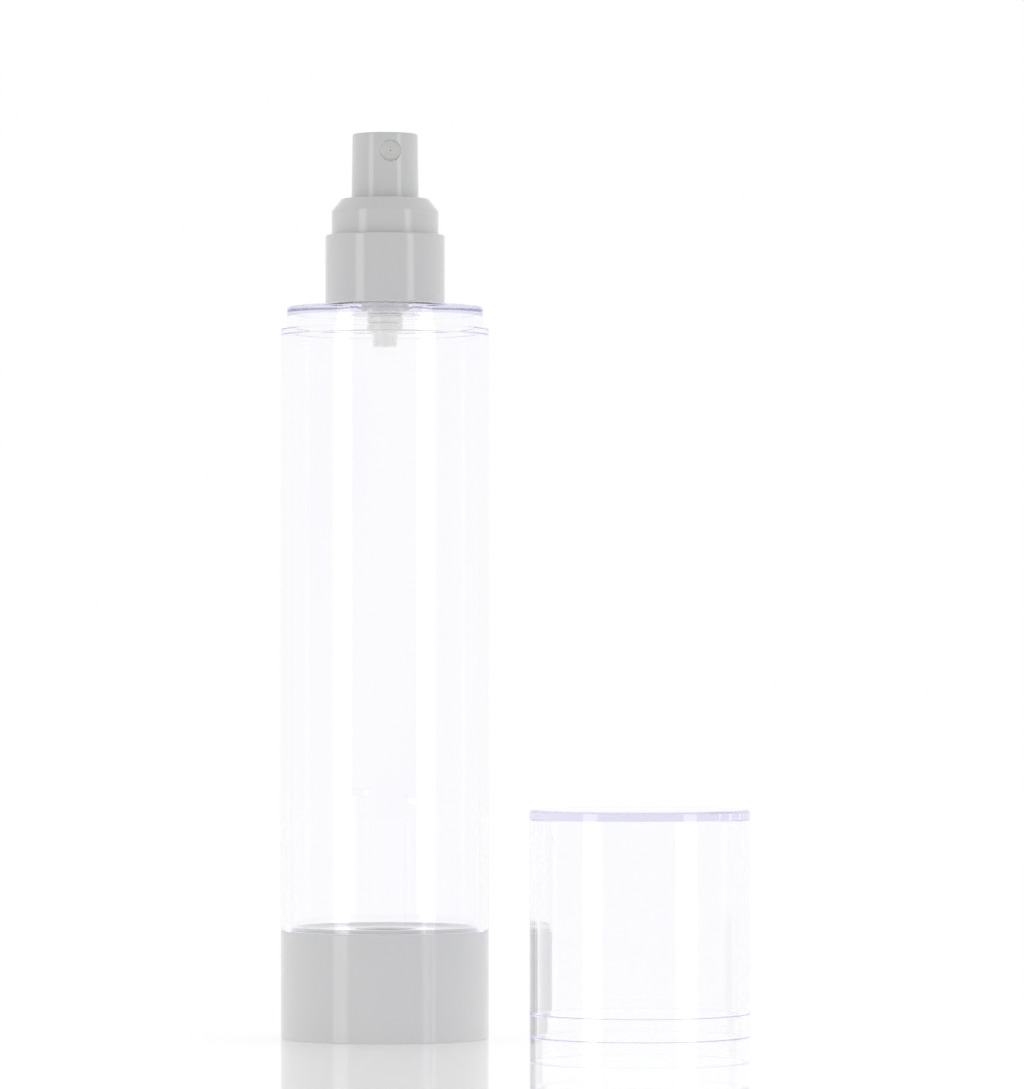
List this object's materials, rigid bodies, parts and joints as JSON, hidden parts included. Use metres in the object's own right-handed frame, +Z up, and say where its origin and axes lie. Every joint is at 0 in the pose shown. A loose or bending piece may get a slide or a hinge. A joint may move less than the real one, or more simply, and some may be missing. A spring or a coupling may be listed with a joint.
{
  "type": "airless pump bottle",
  "caption": "Clear airless bottle with a follower piston, a push-fit mist pump, a white base cup and a clear overcap standing beside it.",
  "frame": {"origin": "on the bottle's axis, at the foot ring's lowest face, where the bottle stands", "axes": "+Z up along the bottle's axis, -Y towards the front where the spray leaves, +X to the right, where the overcap stands"},
  "size_m": [0.0876, 0.109, 0.1738],
  "materials": {
    "clear_styrene": "gloss",
    "white_gloss": "gloss",
    "follower_white": "gloss",
    "natural_polypropylene": "satin",
    "seal": "matte",
    "steel": "satin"
  },
  "bodies": {
    "barrel": {"bottle": "clear_styrene", "base_cup": "white_gloss", "snap_collar": "white_gloss", "turret_ring": "white_gloss", "neck_gasket": "seal", "pump_housing": "natural_polypropylene", "chaplet": "natural_polypropylene", "return_spring": "steel"},
    "plunger": {"stem": "natural_polypropylene", "valve_rod": "natural_polypropylene"},
    "pump_piston": {"pump_piston": "follower_white"},
    "actuator": {"actuator": "white_gloss", "nozzle_insert": "natural_polypropylene"},
    "follower": {"follower_piston": "follower_white"},
    "inlet_ball": {"inlet_ball": "steel"},
    "overcap": {"cap": "clear_styrene"}
  },
  "joints": [
    {"name": "pump_stroke", "type": "slide", "parent": "barrel", "child": "plunger", "axis": [0, 0, -1], "range_m": [0, 0.0045], "stiffness_N_per_m": 1500, "springref_m": -0.004, "deforming": ["return_spring"]},
    {"name": "piston_travel", "type": "slide", "parent": "barrel", "child": "pump_piston", "axis": [0, 0, -1], "range_m": [0, 0.004]},
    {"name": "actuator_turn", "type": "hinge", "parent": "plunger", "child": "actuator", "pos_m": [0, 0, 0.1648], "axis": [0, 0, 1], "continuous": true},
    {"name": "follower_rise", "type": "slide", "parent": "barrel", "child": "follower", "axis": [0, 0, 1], "range_m": [0, 0.1135]},
    {"name": "ball_lift", "type": "slide", "parent": "barrel", "child": "inlet_ball", "axis": [0, 0, 1], "range_m": [0, 0.0008]},
    {"name": "cap_lift", "type": "slide", "parent": "barrel", "child": "overcap", "axis": [0, 0, 1], "range_m": [0, 0.176]}
  ],
  "couplings": [
    {"joint": "piston_travel", "follows": "pump_stroke", "ratio": 0.88}
  ]
}
